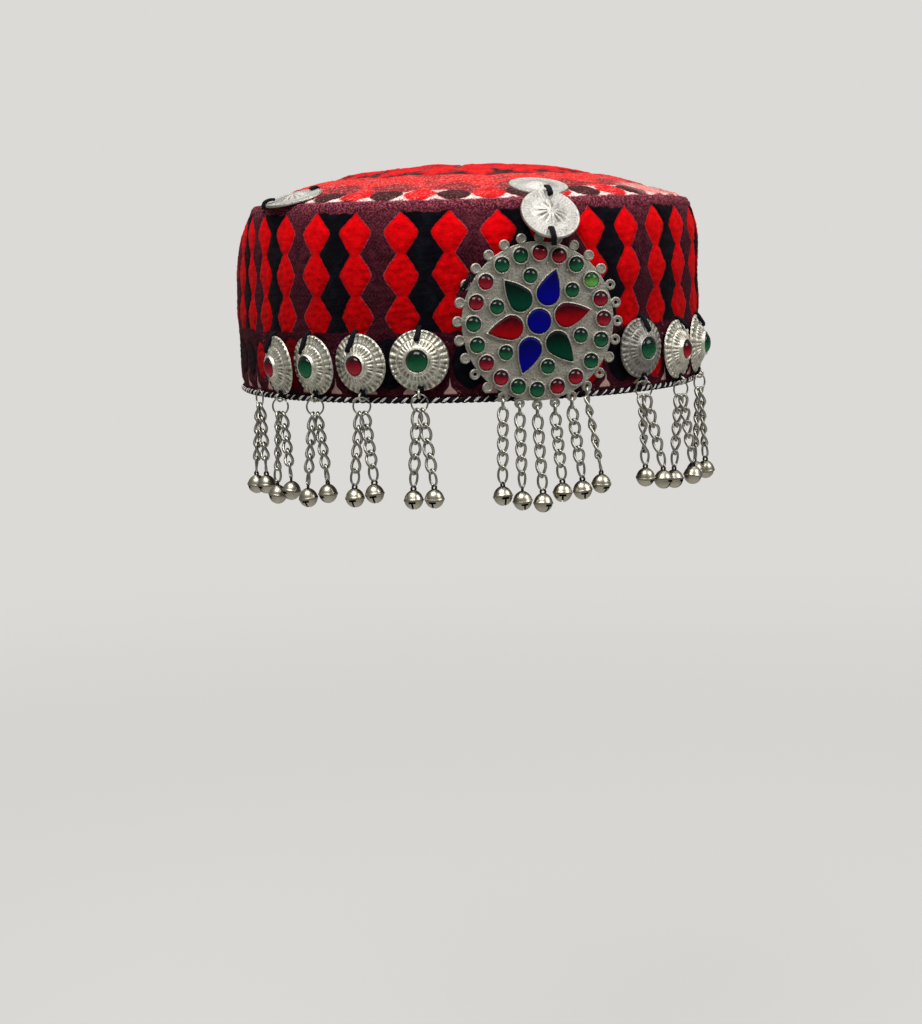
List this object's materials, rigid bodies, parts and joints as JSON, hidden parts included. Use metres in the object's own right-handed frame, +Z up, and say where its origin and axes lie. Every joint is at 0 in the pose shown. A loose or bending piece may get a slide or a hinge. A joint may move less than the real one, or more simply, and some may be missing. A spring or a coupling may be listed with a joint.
{
  "type": "sindhi cap",
  "caption": "Round embroidered pillbox cap with a jewelled silver plate, domed medallions, sewn coins and chains ending in small bells.",
  "frame": {"origin": "middle of the crown's underside, where the cap sits on a head", "axes": "+Z up through the crown, -Y out of the front plate, +X to the right of someone facing the front"},
  "size_m": [0.1834, 0.188, 0.1251],
  "materials": {
    "crown_cloth": "chain-stitch wool embroidery on cotton",
    "band_cloth": "chain-stitch wool embroidery on cotton",
    "black_cord": "whip-stitched cord",
    "silver": "worn white metal",
    "green_glass": "polished glass",
    "red_glass": "polished glass",
    "blue_glass": "polished glass"
  },
  "bodies": {
    "root": {"crown": "crown_cloth", "side_band": "band_cloth", "hem_cord": "black_cord", "center_plate": "silver", "center_stone": "blue_glass", "petal_stone_1": "blue_glass", "petal_stone_2": "red_glass", "petal_stone_3": "green_glass", "petal_stone_4": "blue_glass", "petal_stone_5": "red_glass", "petal_stone_6": "green_glass", "inner_stone_1": "green_glass", "inner_stone_2": "green_glass", "inner_stone_3": "green_glass", "inner_stone_4": "green_glass", "inner_stone_5": "green_glass", "inner_stone_6": "green_glass", "medallion_left_1": "silver", "medallion_stone_left_1": "green_glass", "medallion_left_2": "silver", "medallion_stone_left_2": "red_glass", "medallion_left_3": "silver", "medallion_stone_left_3": "green_glass", "medallion_left_4": "silver", "medallion_stone_left_4": "red_glass", "medallion_right_1": "silver", "medallion_stone_right_1": "green_glass", "medallion_right_2": "silver", "medallion_stone_right_2": "red_glass", "medallion_right_3": "silver", "medallion_stone_right_3": "green_glass", "coin_front": "silver", "coin_crown": "silver", "coin_left": "silver", "drop_center_1": "silver", "drop_center_2": "silver", "drop_center_3": "silver", "drop_center_4": "silver", "drop_center_5": "silver", "drop_center_6": "silver", "drop_left_1": "silver", "drop_left_2": "silver", "drop_left_3": "silver", "drop_left_4": "silver", "drop_left_5": "silver", "drop_right_1": "silver", "drop_right_2": "silver", "drop_right_3": "silver"}
  },
  "joints": []
}
